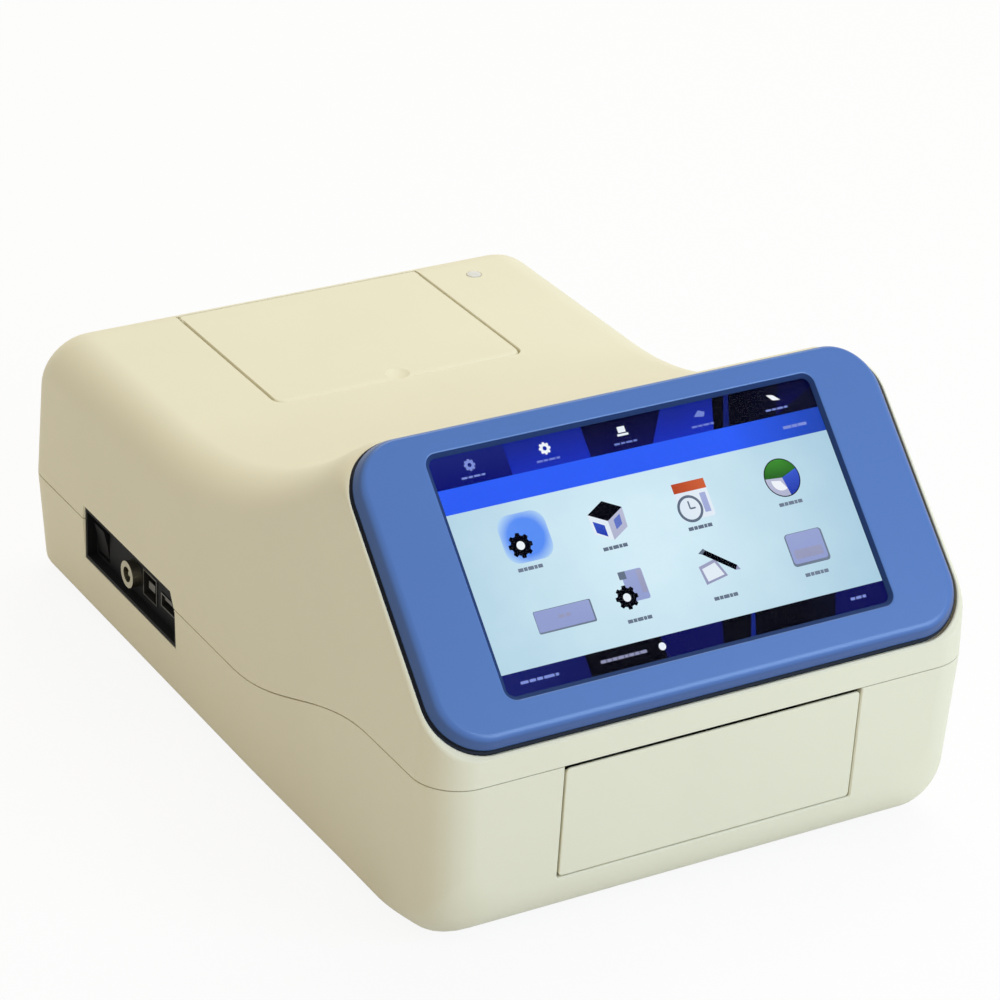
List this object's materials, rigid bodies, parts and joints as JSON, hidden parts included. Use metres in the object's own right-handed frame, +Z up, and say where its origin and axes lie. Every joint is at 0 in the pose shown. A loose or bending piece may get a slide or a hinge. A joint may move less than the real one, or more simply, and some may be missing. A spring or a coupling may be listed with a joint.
{
  "type": "microplate spectrophotometer",
  "caption": "Bench-top plate-reading spectrophotometer: low moulded housing, sloping touch screen in a rounded bezel, front plate door, rear lamp hatch and a side connector recess.",
  "frame": {"origin": "on the table under the middle of the housing", "axes": "+X to the right as seen by the user, +Y to the rear, +Z up; the screen and door face -Y"},
  "size_m": [0.22, 0.34, 0.1622],
  "materials": {
    "cream_shell": "fine moulded texture",
    "blue_bezel": "satin painted",
    "screen_glass": "clear, glossy",
    "screen_picture": "lit picture",
    "steel": "zinc-plated sheet",
    "aluminium": "milled",
    "circuit_board": "solder mask",
    "lens_tint": "clear tinted",
    "black_plastic": "moulded",
    "nickel": "nickel plated",
    "polished_rod": "ground",
    "bronze": "sintered",
    "black_metal": "black anodised",
    "belt_rubber": "matt",
    "optic_glass": "coated",
    "lamp_glass": "clear",
    "filter_glass": "coated",
    "foot_rubber": "matt"
  },
  "bodies": {
    "housing": {"base_shell": "cream_shell", "upper_shell": "cream_shell", "screen_bezel": "blue_bezel", "touch_glass": "screen_glass", "display_module": "screen_picture", "display_bracket": "steel", "control_board": "circuit_board", "door_pin": "steel", "hatch_pin": "steel", "indicator_lens": "lens_tint", "connector_panel": "black_plastic", "power_jack": "nickel", "usb_port": "nickel", "data_port": "nickel", "connector_board": "circuit_board", "chassis_plate": "steel", "chassis_screws": "nickel", "guide_rails": "polished_rod", "rail_supports": "aluminium", "drive_motor": "black_metal", "motor_bracket": "steel", "idler_bracket": "steel", "drive_belt": "belt_rubber", "home_sensor": "black_plastic", "optics_bridge": "aluminium", "bridge_lenses": "optic_glass", "detector_board": "circuit_board", "detector_cells": "black_plastic", "optics_shelf": "steel", "shelf_posts": "aluminium", "lamp_house": "aluminium", "halogen_lamp": "lamp_glass", "condenser_lens": "optic_glass", "wheel_motor": "steel", "wheel_bracket": "steel", "light_guide": "black_plastic", "fan_frame": "black_plastic", "rubber_feet": "foot_rubber", "case_screws": "nickel"},
    "carriage": {"plate_carriage": "black_plastic", "carriage_bushings": "bronze", "plate_clip": "steel", "belt_clamp": "aluminium"},
    "door": {"door_flap": "cream_shell"},
    "hatch": {"hatch_cover": "cream_shell"},
    "rocker": {"rocker_switch": "black_plastic"},
    "drive_wheel": {"drive_pulley": "aluminium"},
    "idler_wheel": {"idler_pulley": "aluminium"},
    "wheel": {"filter_wheel": "black_metal", "wheel_filters": "filter_glass"},
    "fan": {"fan_rotor": "black_plastic"}
  },
  "joints": [
    {"name": "carriage_slide", "type": "slide", "parent": "housing", "child": "carriage", "axis": [0, -1, 0], "range_m": [0, 0.265]},
    {"name": "door_hinge", "type": "hinge", "parent": "housing", "child": "door", "pos_m": [0, -0.1667, 0.06265], "axis": [-1, 0, 0], "range_deg": [0, 100]},
    {"name": "hatch_hinge", "type": "hinge", "parent": "housing", "child": "hatch", "pos_m": [0, 0.1438, 0.1008], "axis": [-1, 0, 0], "range_deg": [0, 100]},
    {"name": "rocker_tip", "type": "hinge", "parent": "housing", "child": "rocker", "pos_m": [-0.1035, 0.1045, 0.03575], "axis": [0, 1, 0], "range_deg": [0, 20]},
    {"name": "drive_spin", "type": "hinge", "parent": "housing", "child": "drive_wheel", "pos_m": [0.066, -0.142, 0.026], "axis": [1, 0, 0], "range_deg": [0, 2400]},
    {"name": "idler_spin", "type": "hinge", "parent": "housing", "child": "idler_wheel", "pos_m": [0.066, 0.1566, 0.026], "axis": [1, 0, 0], "range_deg": [0, 2400]},
    {"name": "wheel_spin", "type": "hinge", "parent": "housing", "child": "wheel", "pos_m": [0.0045, 0.087, 0.0785], "axis": [0, 1, 0], "continuous": true},
    {"name": "fan_spin", "type": "hinge", "parent": "housing", "child": "fan", "pos_m": [0.0735, 0.156, 0.0775], "axis": [0, 1, 0], "continuous": true}
  ],
  "couplings": [
    {"joint": "door_hinge", "follows": "carriage_slide", "rad_per_m": 6.586},
    {"joint": "drive_spin", "follows": "carriage_slide", "rad_per_m": 156.99},
    {"joint": "idler_spin", "follows": "carriage_slide", "rad_per_m": 156.99}
  ]
}
